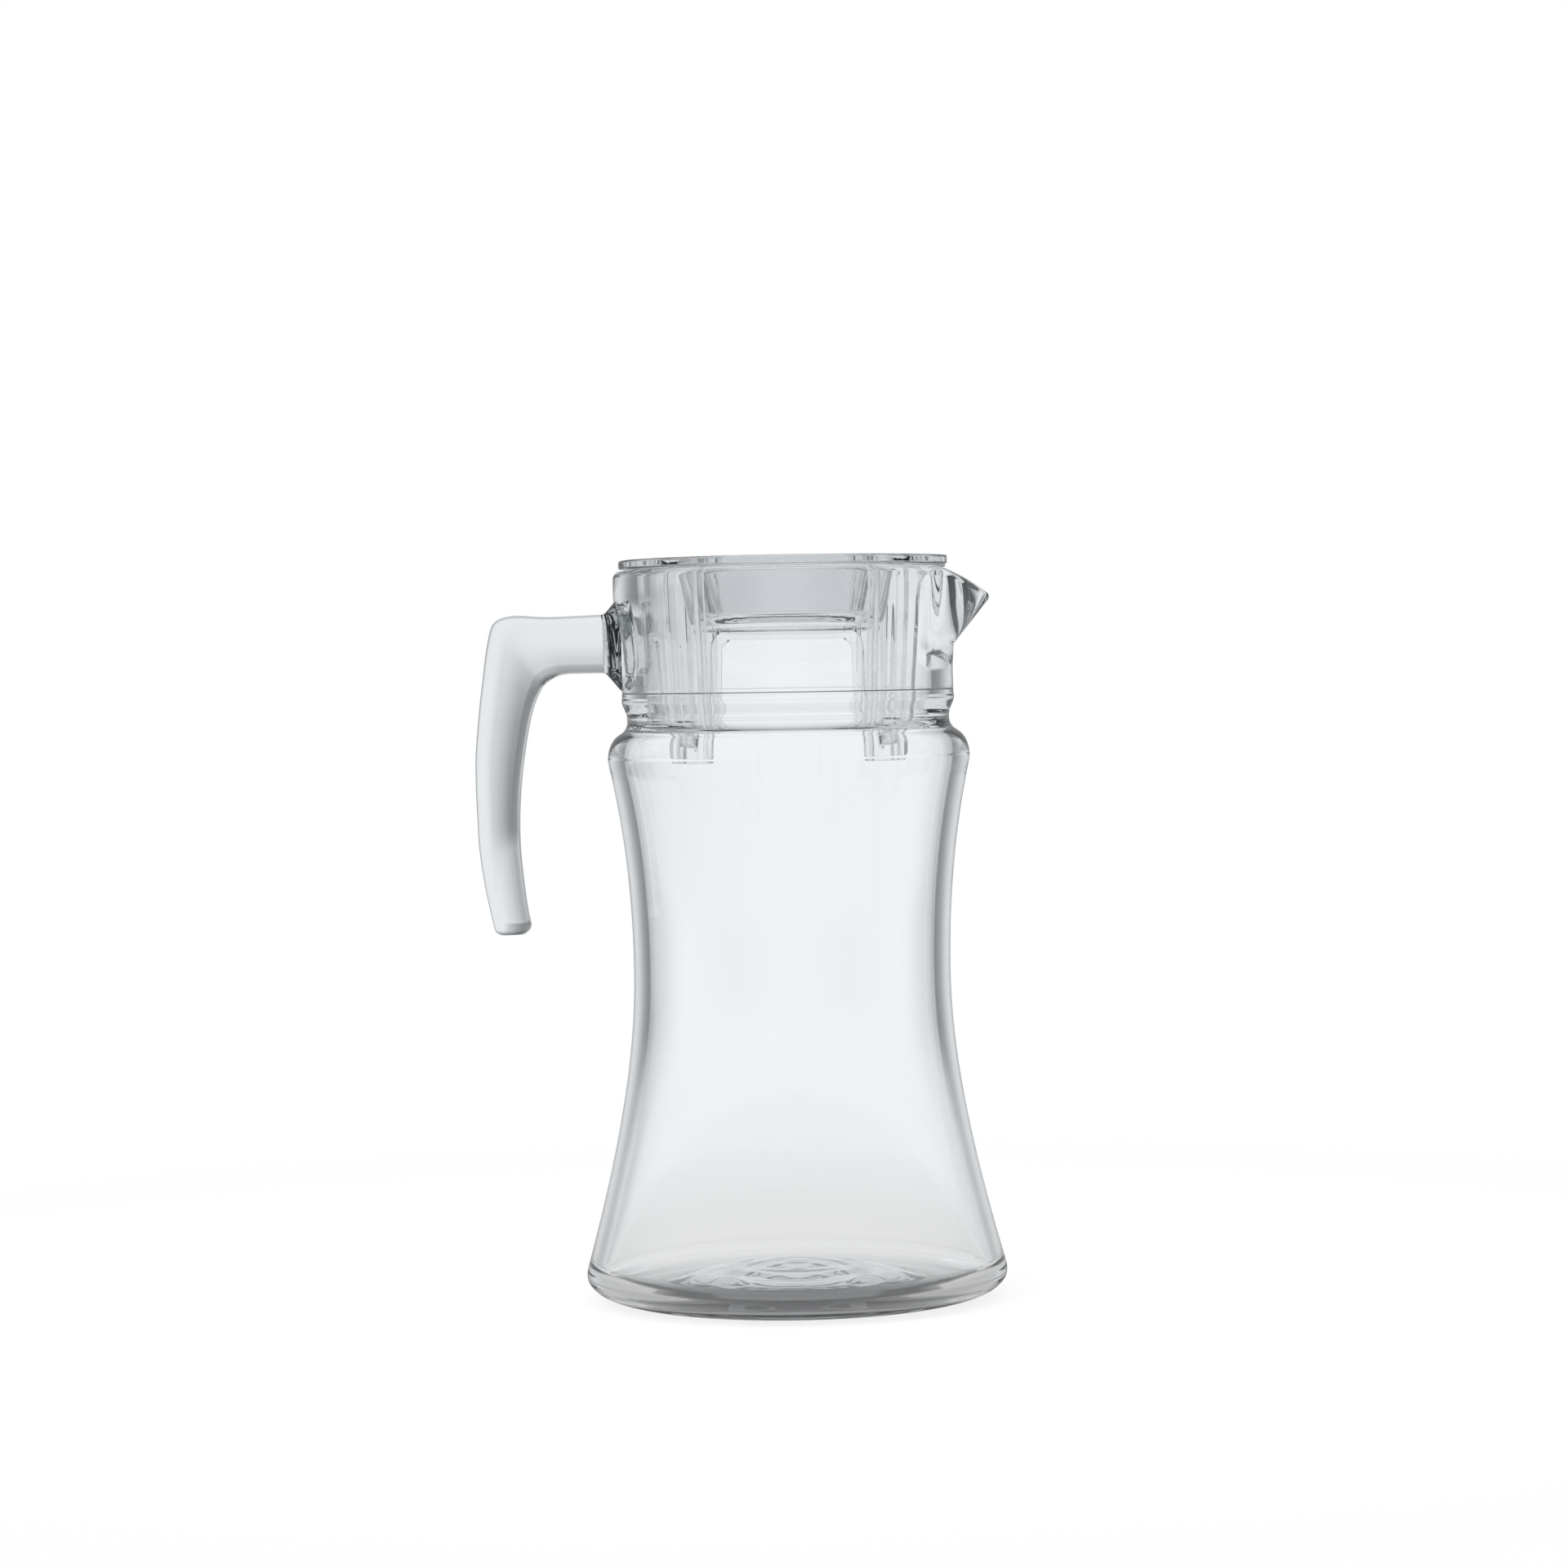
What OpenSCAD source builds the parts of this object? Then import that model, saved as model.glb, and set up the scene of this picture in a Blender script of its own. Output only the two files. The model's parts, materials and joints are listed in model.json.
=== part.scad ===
// Glass jug with a waisted body, a pressed pouring lip and an open hook handle, closed by a clear
// plastic lid that turns in the collar and lifts off. The origin is on the jug's axis at the
// table, the lip points along +X and the handle along -X.

/* [Jug heights, from the table up] */
// Height of the widest place of the foot
foot_h = 9.5; // [8:0.5:12]
// Rise from the widest place of the foot to the waist
lower_h = 96.5; // [80:0.5:120]
// Rise from the waist to the edge of the shoulder
upper_h = 67; // [55:0.5:85]
// Rise from the edge of the shoulder to the groove of the neck
shoulder_h = 14; // [13:0.5:18]
// Height of the groove of the neck
neck_h = 6; // [5:0.5:8]
// Height of the collar, from the groove to the rim
collar_h = 43.8; // [40:0.2:50]

/* [Jug radii and steps between them] */
// Radius of the collar at the rim
rim_r = 56.2; // [50:0.2:62]
// Widening of the collar from its narrowest place to the rim
rim_flare = 2.5; // [1:0.1:4]
// Depth of the groove of the neck in from the collar
neck_groove = 1.4; // [0.8:0.1:2]
// Step out from the groove of the neck to the shoulder
shoulder_out = 6.5; // [5.5:0.1:9]
// Step in from the shoulder to the waist
waist_in = 7.3; // [4:0.1:10]
// Radius of the widest place of the foot
foot_r = 68.4; // [60:0.2:76]
// Width of the heel, from the ring that the jug stands on out to its widest place
heel_w = 16.9; // [10:0.1:20]

/* [Glass] */
// Thickness of the wall of the body
wall = 5.2; // [4:0.1:6]
// Thickness of the floor where it meets the wall
floor_t = 7; // [5:0.5:8]
// Height of the dome in the middle of the floor
floor_dome = 5; // [2:0.5:7]
// Height of the hollow under the base
push_up = 4; // [2:0.5:5]
// Thickness of the wall of the collar at its narrowest place
collar_wall = 6.7; // [5.5:0.1:8]
// Width of the ledge in the collar, where the bore of the neck is narrower
neck_ledge = 0.8; // [0.4:0.1:1.4]
// Height of the narrow part of the neck's bore
neck_bore_h = 8; // [6:0.5:9]
// Radius of the rounded edges of the rim
rim_round = 2.4; // [1.5:0.1:3]

/* [Pouring lip] */
// Reach of the tip of the lip past the rim
lip_reach = 9.7; // [6:0.1:14]
// Drop of the tip below the rim
lip_drop = 10.6; // [8:0.2:13]
// Depth of the keel of the lip below its tip
lip_keel = 14.4; // [10:0.2:18]
// Half of the width of the lip where it leaves the collar
lip_half_w = 17; // [14:0.5:18]
// Thickness of the glass of the lip
lip_wall = 3.4; // [2.5:0.1:4.5]

/* [Handle] */
// Room for fingers between the shoulder and the grip
finger_room = 29; // [24:0.5:36]
// Drop of the top of the arm below the rim
arm_drop = 13.8; // [10:0.2:16]
// Height of the arm
arm_h = 19; // [16:0.5:22]
// Length of the handle from the top of the arm to its end
handle_l = 103.4; // [90:0.2:115]
// Thickness of the grip seen from the side
grip_t = 13.7; // [11:0.1:16]
// Width of the handle seen from behind
grip_w = 18; // [14:0.5:22]
// Spread of the root where it flares into the collar
root_flare = 3.2; // [2:0.2:5]

/* [Lid] */
// Thickness of the lid's plate
plate_t = 2.7; // [2:0.1:4]
// Step of the plate in from the rim of the glass
plate_inset = 1.8; // [1:0.1:4]
// Step in from the plate's edge of the flat that clears the lip
plate_flat = 2.6; // [1.5:0.1:4]
// Thickness of the ring that the lid rests on
seat_t = 0.7; // [0.5:0.1:1.2]
// Thickness of the lid's walls
lid_wall = 1.8; // [1.4:0.1:2.2]
// Play between the skirt and the bore of the collar
skirt_play = 0.5; // [0.3:0.1:0.8]
// Depth of the skirt down to the tops of the windows
window_drop = 19.5; // [16:0.5:22]
// Depth of the skirt down to the top of the pouring window
pour_drop = 4.4; // [3:0.2:8]
// Width of a leg at its top, between two windows
leg_w = 25.5; // [22:0.5:28]
// Widening of each side of a window towards its foot
window_flare = 0.8; // [0:0.2:3]
// Reach of the legs below the groove of the neck
leg_reach = 12; // [9:0.5:16]
// Depth of the stiffening ribs of a leg, its wall included
rib_depth = 5; // [3:0.5:6]
// Thickness of the stiffening ribs of a leg
rib_t = 1.6; // [1.2:0.1:2]
// Distance between the two ribs of a leg
rib_gap = 12; // [10:0.5:14]

/* [Lid pockets and grip] */
// Step in from the skirt to the round of the two finger pockets
pocket_inset = 10.9; // [8:0.1:14]
// Depth of the finger pockets below the top of the lid
pocket_depth = 18; // [12:0.5:20]
// Draft of the pocket's wall, from top to floor
pocket_draft = 4.4; // [2:0.2:6]
// Radius of the corners of the finger pockets
pocket_corner = 7; // [4:0.5:8]
// Width of the grip bar between the pockets
bar_w = 12; // [9:0.5:16]

/* [Catches] */
// How far a catch stands out of its leg
catch_proud = 1.6; // [0.8:0.1:2]
// Width of a catch
catch_w = 8; // [5:0.5:9]
// Height of a catch
catch_h = 11; // [8:0.5:13]
// Drop of the middle of a catch below the groove of the neck
catch_drop = 3.6; // [3:0.2:5]
// Clearance between a catch and the bore of the neck
catch_play = 0.3; // [0.2:0.05:0.5]

/* [Hidden] */
$fn = 96;

// Overrun of every cut past the face that it opens
over = 1;

// Heights of the jug
waist_z = foot_h + lower_h;
edge_z = waist_z + upper_h;
neck_z = edge_z + shoulder_h;
collar_z = neck_z + neck_h;
rim_z = collar_z + collar_h;

// Radii of the jug
collar_r = rim_r - rim_flare;
neck_r = collar_r - neck_groove;
shoulder_r = neck_r + shoulder_out;
waist_r = shoulder_r - waist_in;
stand_r = foot_r - heel_w;
bore_r = collar_r - collar_wall;
neck_bore_r = bore_r - neck_ledge;

// Heel below the widest place of the foot
heel_share = 0.85;
heel_h = foot_h * heel_share;
// Powers of the two stretches of the waisted outline
lower_power_share = 1.7;
upper_power_share = 2.15;
// Radius of the body at the edge of the shoulder, just short of its widest place
edge_step = 0.45;
edge_r = shoulder_r - edge_step;
// Round of the shoulder, which ends in a slope up to the groove
shoulder_round = 7.5;
shoulder_turn = 50;
shoulder_mid_share = 0.33;
shoulder_mid_z = edge_z + shoulder_round * shoulder_mid_share;
slope_top_share = 0.86;
// Collar outline: a bead at its foot, then a taper out to the rim
bead_proud = 0.4;
bead_low_share = 0.12;
bead_z_share = 0.03;
taper_shares = [[0.07, 0.06], [0.22, 0], [0.45, 0.24], [0.62, 0.72], [0.8, 1]];
// Corner between the floor and the wall inside
corner_w = 5;
corner_h = 7;
// Widening of the bore below the narrow part of the neck
flare_w = 2.4;
flare_h = 5;

// Sides of a round that other pieces end on
round_fn = 360;
// Steps in each curved stretch of an outline
steps = 14;
arc_steps = 8;

function lower_r(z) =
    waist_r + (foot_r - waist_r) * pow((waist_z - z) / lower_h, lower_power_share);
function upper_r(z) =
    waist_r + (edge_r - waist_r) * pow((z - waist_z) / upper_h, upper_power_share);
function body_r(z) = z < waist_z ? lower_r(z) : upper_r(z);

// Points on an arc of an ellipse, from one angle to another
function arc(x, z, a, b, from, to, n = arc_steps) =
    [for (i = [0:n]) let (t = from + (to - from) * i / n) [x + a * cos(t), z + b * sin(t)]];

// Outline of the glass outside, from the axis at the table up to the rim
function outer_points() = concat(
    [for (i = [0:arc_steps]) let (s = i / arc_steps)
        [(stand_r - push_up) * s, push_up * (1 + cos(180 * s)) / 2]],
    arc(stand_r, heel_h, foot_r - stand_r, heel_h, -90, 0),
    [for (i = [0:steps]) let (z = foot_h + lower_h * i / steps) [lower_r(z), z]],
    [for (i = [1:steps]) let (z = waist_z + upper_h * i / steps) [upper_r(z), z]],
    arc(shoulder_r - shoulder_round, shoulder_mid_z, shoulder_round, shoulder_round,
        0, shoulder_turn),
    [[neck_r + edge_step * 2, edge_z + shoulder_h * slope_top_share],
        [neck_r, neck_z],
        [neck_r, collar_z - neck_h / 2],
        [collar_r - bead_proud, collar_z - neck_h * bead_low_share],
        [collar_r + bead_proud, collar_z + collar_h * bead_z_share]],
    [for (p = taper_shares)
        [collar_r + (rim_r - collar_r) * p[1], collar_z + collar_h * p[0]]],
    arc(rim_r - rim_round, rim_z - rim_round, rim_round, rim_round, 0, 90),
    [[0, rim_z]]
);

// Narrow part of the neck's bore, and the cavity's places below it
bore_z0 = collar_z - neck_h;
bore_z1 = bore_z0 + neck_bore_h;
corner_z = floor_t + corner_h;
corner_r = body_r(corner_z) - wall;

// Outline of the room inside, from the middle of the floor up past the rim
function cavity_points() = concat(
    [for (i = [0:arc_steps]) let (s = i / arc_steps)
        [(corner_r - corner_w) * s, floor_t + floor_dome * (1 + cos(180 * s)) / 2]],
    arc(corner_r - corner_w, corner_z, corner_w, corner_h, -90, 0),
    [for (i = [1:steps]) let (z = corner_z + (waist_z - corner_z) * i / steps)
        [body_r(z) - wall, z]],
    [for (i = [1:steps]) let (z = waist_z + upper_h * i / steps) [body_r(z) - wall, z]],
    arc(shoulder_r - wall - shoulder_round / 2, shoulder_mid_z,
        shoulder_round / 2, shoulder_round / 2, 0, shoulder_turn),
    [[neck_bore_r + flare_w, bore_z0 - flare_h],
        [neck_bore_r, bore_z0],
        [neck_bore_r, bore_z1],
        [bore_r, bore_z1],
        [bore_r, rim_z - rim_round]],
    arc(bore_r + rim_round, rim_z - rim_round, rim_round, rim_round, 180, 90),
    [[bore_r + rim_round, rim_z + over], [0, rim_z + over]]
);

// Glass between two heights, with the room inside taken out
module glass_between(z0, z1) {
    difference() {
        intersection() {
            rotate_extrude() polygon(outer_points());
            translate([0, 0, z0]) cylinder(r = foot_r * 2, h = z1 - z0);
        }
        rotate_extrude() polygon(cavity_points());
    }
}

// Collar as a plain body of revolution, which the lip and the handle's root end on
module collar_envelope() {
    intersection() {
        rotate_extrude() polygon(outer_points());
        translate([0, 0, edge_z]) cylinder(r = foot_r * 2, h = rim_z - edge_z + over);
    }
}

// Places of the pouring lip
tip_x = rim_r + lip_reach;
tip_z = rim_z - lip_drop;
keel_z = tip_z - lip_keel;
tip_round = 1.8;
cheek_round = 2;
// Drop of the top of the cheeks below the rim, inside the collar's wall
cheek_drop = 0.5;
cheek_low_share = 0.25;
cheek_low_z = tip_z - lip_keel * cheek_low_share;
channel_round = 1;
// Rise of the channel's keel for each step in of its wall, and the slimmer upper part of the tip
keel_rise_share = 1.6;
tip_top_share = 0.8;
lip_sides = 24;

// Solid of the lip, shrunk by an inset: the outside has none, the channel the glass's wall
module lip_shape(inset, round_r, root_r, keel_r, top_z, tip_h) {
    hull() {
        translate([tip_x - inset - round_r, 0, tip_z - tip_round + inset])
            sphere(r = round_r, $fn = lip_sides);
        translate([keel_r, 0, keel_z + inset * keel_rise_share + round_r])
            sphere(r = round_r, $fn = lip_sides);
        for (side = [-1, 1])
            translate([root_r, side * (lip_half_w - inset - round_r), cheek_low_z + inset])
                cylinder(r = round_r, h = top_z - cheek_low_z - inset, $fn = lip_sides);
        translate([tip_x - inset - round_r, 0, tip_z + round_r])
            cylinder(r = round_r * tip_top_share, h = tip_h, $fn = lip_sides);
    }
}

// Everything above the sloping edge of the lip, from the rim down to the tip
module above_lip_edge() {
    slope = atan2(lip_drop, tip_x - bore_r - lip_wall);
    translate([tip_x, 0, tip_z])
        rotate([0, slope, 0])
            translate([-foot_r, -foot_r, 0])
                cube([foot_r * 2, foot_r * 2, foot_r]);
}

module lip_channel() {
    channel_r = bore_r - lip_wall;
    lip_shape(lip_wall, channel_round, channel_r, channel_r, rim_z + lip_drop, lip_drop * 2);
}

// Side view of the handle: places of its top and outer edge, and of its lower and inner edge
arm_top_z = rim_z - arm_drop;
arm_low_z = arm_top_z - arm_h;
inner_x = shoulder_r + finger_room;
outer_x = inner_x + grip_t;
handle_end_z = arm_top_z - handle_l;
arm_x0 = rim_r + root_flare;
// Pairs of places across the grip, as shares of the way out and of the length
grip_outer_shares = [
    [0.62, 0], [0.72, 0.005], [0.8, 0.02], [0.855, 0.055], [0.885, 0.1], [0.92, 0.19], [0.965, 0.3],
    [0.99, 0.41], [1, 0.53], [0.985, 0.68], [0.955, 0.82], [0.91, 0.93], [0.88, 0.985]
];
grip_inner_shares = [
    [0, 1], [0.11, 0.99], [0.32, 0.955], [0.52, 0.88], [0.66, 0.78], [0.8, 0.64], [0.9, 0.5],
    [0.97, 0.36], [1, 0.25], [1, 0.14], [0.95, 0.06], [0.88, 0.02], [0.84, 0]
];
// Section of the handle, from its inner to its outer edge: share across and share of half width
section_shares = [
    [0, 0.5], [0.04, 0.72], [0.14, 0.9], [0.3, 1], [0.5, 1], [0.68, 0.9], [0.86, 0.72],
    [0.97, 0.55], [1, 0.4]
];

grip_x0 = inner_x - grip_t;

function outer_place(s) = [
    arm_x0 + (outer_x - arm_x0) * s[0],
    arm_top_z - handle_l * s[1]
];
function inner_place(s) = [
    grip_x0 + (inner_x - grip_x0) * s[0],
    handle_end_z + (arm_low_z - handle_end_z) * s[1]
];

// One ring of the handle between an inner and an outer place
function ring(a, b, half) = concat(
    [for (p = section_shares)
        [-(a[0] + (b[0] - a[0]) * p[0]), p[1] * half, a[1] + (b[1] - a[1]) * p[0]]],
    [for (i = [len(section_shares) - 1:-1:0]) let (p = section_shares[i])
        [-(a[0] + (b[0] - a[0]) * p[0]), -p[1] * half, a[1] + (b[1] - a[1]) * p[0]]]
);

// Closed skin over a row of rings with equal numbers of points
module loft(rings) {
    n = len(rings[0]);
    m = len(rings);
    polyhedron(
        points = [for (r = rings) for (p = r) p],
        faces = concat(
            [[for (i = [0:n - 1]) i]],
            [for (k = [0:m - 2]) for (i = [0:n - 1]) let (j = (i + 1) % n)
                [k * n + i, (k + 1) * n + i, (k + 1) * n + j]],
            [for (k = [0:m - 2]) for (i = [0:n - 1]) let (j = (i + 1) % n)
                [k * n + i, (k + 1) * n + j, k * n + j]],
            [[for (i = [n - 1:-1:0]) (m - 1) * n + i]]
        )
    );
}

// Concave flare of the root: step towards the collar and growth there, as shares of its spread
root_shares = [[1, 1], [0.72, 0.5], [0.4, 0.18], [0, 0]];
arm_start = [[arm_x0, arm_low_z], [arm_x0, arm_top_z]];
arm_end = [inner_place(grip_inner_shares[0]), outer_place(grip_outer_shares[0])];

// Places of the lid
seat_z = rim_z;
plate_z = seat_z + seat_t;
lid_top_z = plate_z + plate_t;
plate_r = rim_r - plate_inset;
seat_in_r = bore_r + rim_round;
seat_w = 2.4;
plate_edge_round = 0.8;
skirt_r = bore_r - skirt_play;
leg_end_z = neck_z - leg_reach;
skirt_h = plate_z - leg_end_z;
// Middle of the catches, where the leg lies so far in that they clear the bore of the neck
catch_z = neck_z - catch_drop;
catch_leg_r = neck_bore_r - catch_play - catch_proud;
catch_z_share = (catch_z - leg_end_z) / skirt_h;
leg_end_r = (catch_leg_r - skirt_r * catch_z_share) / (1 - catch_z_share);
window_z = plate_z - window_drop;
pour_z = plate_z - pour_drop;
window_round = 4;
leg_corner = 4;
floor_z = lid_top_z - pocket_depth;
pocket_r = skirt_r - pocket_inset;
// Direction of the leg in the first quarter, and half of the width of the windows beside it
leg_turn = 45;
window_half_w = skirt_r * sin(leg_turn - asin(leg_w / 2 / skirt_r));

// Tapered round of the skirt, shrunk inwards by an inset
module skirt_cone(inset) {
    translate([0, 0, leg_end_z])
        cylinder(r1 = leg_end_r - inset, r2 = skirt_r - inset, h = skirt_h);
}

// Outline of a window: straight top, round corners and sides that widen downwards
function window_points(top_z) = concat(
    [[-window_half_w - window_flare, leg_end_z - over]],
    arc(-window_half_w + window_round, top_z - window_round, window_round, window_round, 180, 90),
    arc(window_half_w - window_round, top_z - window_round, window_round, window_round, 90, 0),
    [[window_half_w + window_flare, leg_end_z - over]]
);

// Window cut through the skirt on the side that +X points to
module window_cut(top_z) {
    rotate([90, 0, 90])
        linear_extrude(height = rim_r)
            polygon(window_points(top_z));
}

// Material left between the windows, for one leg in the first quarter
module leg_block(z0, z1) {
    difference() {
        translate([0, 0, z0]) cube([rim_r, rim_r, z1 - z0]);
        window_cut(window_z);
        rotate([0, 0, 90]) mirror([0, 1, 0]) window_cut(window_z);
    }
}

// Outline of a leg seen along its own radius, with the round corners of its foot
leg_top_half_w = leg_w / 2 + over;
leg_foot_share = 0.8;
leg_foot_half_w = leg_w / 2 * leg_foot_share;
function leg_outline_points() = concat(
    [[leg_top_half_w, window_z], [-leg_top_half_w, window_z]],
    arc(-leg_foot_half_w + leg_corner, leg_end_z + leg_corner * 2,
        leg_corner, leg_corner * 2, 180, 270),
    arc(leg_foot_half_w - leg_corner, leg_end_z + leg_corner * 2,
        leg_corner, leg_corner * 2, 270, 360)
);

// The two ribs of the leg in the first quarter, from its foot up to the plate
module rib_pair() {
    for (side = [-1, 1])
        rotate([0, 0, leg_turn])
            translate([0, side * rib_gap / 2 - rib_t / 2, leg_end_z])
                cube([rim_r, rib_t, skirt_h]);
}

// One leg in the first quarter: a tapered wall with two ribs inside
module leg_quarter() {
    intersection() {
        difference() {
            skirt_cone(0);
            skirt_cone(rib_depth);
        }
        leg_block(leg_end_z, window_z);
        rotate([90, 0, leg_turn + 90])
            linear_extrude(height = rim_r)
                polygon(leg_outline_points());
        union() {
            difference() {
                skirt_cone(0);
                skirt_cone(lid_wall);
            }
            rib_pair();
        }
    }
}

// Round side of a finger pocket at one level, with its flat side towards the grip bar
function pocket_points(r, flat_y, corner) =
    let (
        mid_y = flat_y + corner,
        mid_x = sqrt(pow(r - corner, 2) - pow(mid_y, 2)),
        turn = atan2(mid_y, mid_x)
    ) concat(
        arc(mid_x, mid_y, corner, corner, -90, turn),
        arc(0, 0, r, r, turn, 180 - turn, steps * 2),
        arc(-mid_x, mid_y, corner, corner, 180 - turn, 270)
    );

// Thickness of the slices that a pocket is stretched between
slice_t = 0.01;

// Solid of a pocket between the plate and a lower level, grown outwards by a wall
module pocket_solid(grow, top_z, low_z) {
    hull() {
        translate([0, 0, top_z])
            linear_extrude(height = slice_t)
                polygon(pocket_points(pocket_r + grow, bar_w / 2 - grow, pocket_corner));
        translate([0, 0, low_z])
            linear_extrude(height = slice_t)
                polygon(pocket_points(pocket_r - pocket_draft + grow, bar_w / 2 - grow,
                    pocket_corner));
    }
}

module pocket() {
    difference() {
        intersection() {
            pocket_solid(lid_wall, plate_z, floor_z - lid_wall);
            translate([0, 0, floor_z - lid_wall])
                cylinder(r = rim_r, h = plate_z - floor_z + lid_wall);
        }
        pocket_solid(0, plate_z, floor_z);
        translate([0, 0, plate_z - slice_t])
            linear_extrude(height = over)
                polygon(pocket_points(pocket_r, bar_w / 2, pocket_corner));
    }
}

// Lid's plate as a whole disc with a rounded top edge and the flat that clears the lip
module plate_disc() {
    difference() {
        rotate_extrude()
            polygon(concat(
                [[0, plate_z], [plate_r, plate_z]],
                arc(plate_r - plate_edge_round, lid_top_z - plate_edge_round,
                    plate_edge_round, plate_edge_round, 0, 90),
                [[0, lid_top_z]]
            ));
        translate([plate_r - plate_flat, -rim_r, plate_z - over])
            cube([rim_r, rim_r * 2, plate_t + over * 2]);
    }
}

// One catch on the leg at 45 degrees: the part of a spindle that stands out of the leg, drawn to
// a point at the top and round at the foot
catch_turn_r = (pow(catch_w / 2, 2) + pow(catch_proud, 2)) / (2 * catch_proud);
module catch_quarter() {
    difference() {
        rotate([0, 0, leg_turn])
            translate([catch_leg_r + catch_proud - catch_turn_r, 0, catch_z])
                rotate_extrude()
                    polygon(concat(
                        [[0, -catch_h / 2]],
                        arc(catch_turn_r - catch_proud, 0, catch_proud, catch_h / 2, -90, 45),
                        [[catch_turn_r - catch_proud, catch_h / 2], [0, catch_h / 2]]
                    ));
        skirt_cone(0, $fn = round_fn);
    }
}

// The dome of the floor reaches past the widest place of the foot, and belongs to the base
module base() {
    color("lightsteelblue", 0.5)
        difference() {
            glass_between(0, corner_z);
            rotate_extrude()
                translate([corner_r - corner_w, foot_h])
                    square([foot_r, corner_z]);
        }
}

module lower_body() {
    color("aliceblue", 0.4)
        difference() {
            glass_between(foot_h, waist_z);
            cylinder(r = corner_r - corner_w, h = corner_z);
        }
}

module upper_body() {
    color("aliceblue", 0.4)
        glass_between(waist_z, edge_z);
}

module shoulder() {
    color("lightsteelblue", 0.4)
        glass_between(edge_z, neck_z);
}

module neck_ring() {
    color("lightsteelblue", 0.5)
        glass_between(neck_z, collar_z);
}

module collar() {
    color("aliceblue", 0.4)
        difference() {
            glass_between(collar_z, rim_z);
            lip_channel();
        }
}

module pouring_lip() {
    color("lightsteelblue", 0.5)
        difference() {
            lip_shape(0, cheek_round, bore_r + lip_wall, collar_r - cheek_round,
                rim_z - cheek_drop, cheek_round);
            collar_envelope($fn = round_fn);
            lip_channel();
            above_lip_edge();
        }
}

module handle_root() {
    color("silver", 0.5)
        difference() {
            loft([for (p = concat([[arm_x0 - neck_r + wall, root_flare]], root_flare * root_shares))
                ring([arm_x0 - p[0], arm_low_z - p[1]], [arm_x0 - p[0], arm_top_z + p[1]],
                    grip_w / 2 + p[1])]);
            collar_envelope($fn = round_fn);
        }
}

module handle_arm() {
    color("gainsboro", 0.6)
        loft([
            ring(arm_start[0], arm_start[1], grip_w / 2),
            ring(arm_end[0], arm_end[1], grip_w / 2)
        ]);
}

module handle_grip() {
    color("gainsboro", 0.6)
        loft([for (i = [0:len(grip_outer_shares) - 1])
            ring(inner_place(grip_inner_shares[i]), outer_place(grip_outer_shares[i]), grip_w / 2)]);
}

module lid_plate() {
    color("whitesmoke", 0.5)
        difference() {
            plate_disc();
            translate([0, 0, plate_z - over]) cylinder(r = pocket_r, h = plate_t + over * 2);
        }
}

module grip_bar() {
    color("whitesmoke", 0.6)
        difference() {
            translate([0, 0, plate_z]) cylinder(r = pocket_r, h = plate_t);
            for (turn = [0, 180])
                rotate([0, 0, turn])
                    translate([0, 0, plate_z - over])
                        linear_extrude(height = plate_t + over * 2)
                            polygon(pocket_points(pocket_r + over, bar_w / 2, pocket_corner));
        }
}

module seat_ring() {
    color("whitesmoke", 0.6)
        translate([0, 0, seat_z])
            difference() {
                cylinder(r = seat_in_r + seat_w, h = seat_t);
                translate([0, 0, -over]) cylinder(r = seat_in_r, h = seat_t + over * 2);
            }
}

module pocket_front() {
    color("gainsboro", 0.5)
        rotate([0, 0, 180]) pocket();
}

module pocket_back() {
    color("gainsboro", 0.5)
        pocket();
}

module skirt_band() {
    color("whitesmoke", 0.4) {
        difference() {
            skirt_cone(0);
            skirt_cone(lid_wall);
            cylinder(r = rim_r, h = window_z);
            window_cut(pour_z);
        }
        intersection() {
            difference() {
                skirt_cone(slice_t);
                skirt_cone(rib_depth);
                cylinder(r = rim_r, h = window_z);
            }
            for (turn = [0:90:270])
                rotate([0, 0, turn]) rib_pair();
        }
    }
}

module leg_lip_front() {
    color("whitesmoke", 0.5)
        mirror([0, 1, 0]) leg_quarter();
}

module leg_lip_back() {
    color("whitesmoke", 0.5)
        leg_quarter();
}

module leg_handle_front() {
    color("whitesmoke", 0.5)
        rotate([0, 0, 180]) leg_quarter();
}

module leg_handle_back() {
    color("whitesmoke", 0.5)
        mirror([1, 0, 0]) leg_quarter();
}

module catch_lip_front() {
    color("darkgray", 0.7)
        mirror([0, 1, 0]) catch_quarter();
}

module catch_lip_back() {
    color("darkgray", 0.7)
        catch_quarter();
}

module catch_handle_front() {
    color("darkgray", 0.7)
        rotate([0, 0, 180]) catch_quarter();
}

module catch_handle_back() {
    color("darkgray", 0.7)
        mirror([1, 0, 0]) catch_quarter();
}

base();
lower_body();
upper_body();
shoulder();
neck_ring();
collar();
pouring_lip();
handle_root();
handle_arm();
handle_grip();
lid_plate();
grip_bar();
seat_ring();
pocket_front();
pocket_back();
skirt_band();
leg_lip_front();
leg_lip_back();
leg_handle_front();
leg_handle_back();
catch_lip_front();
catch_lip_back();
catch_handle_front();
catch_handle_back();
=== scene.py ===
import json
import math

import bmesh
import bpy
from mathutils import Matrix, Vector


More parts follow.
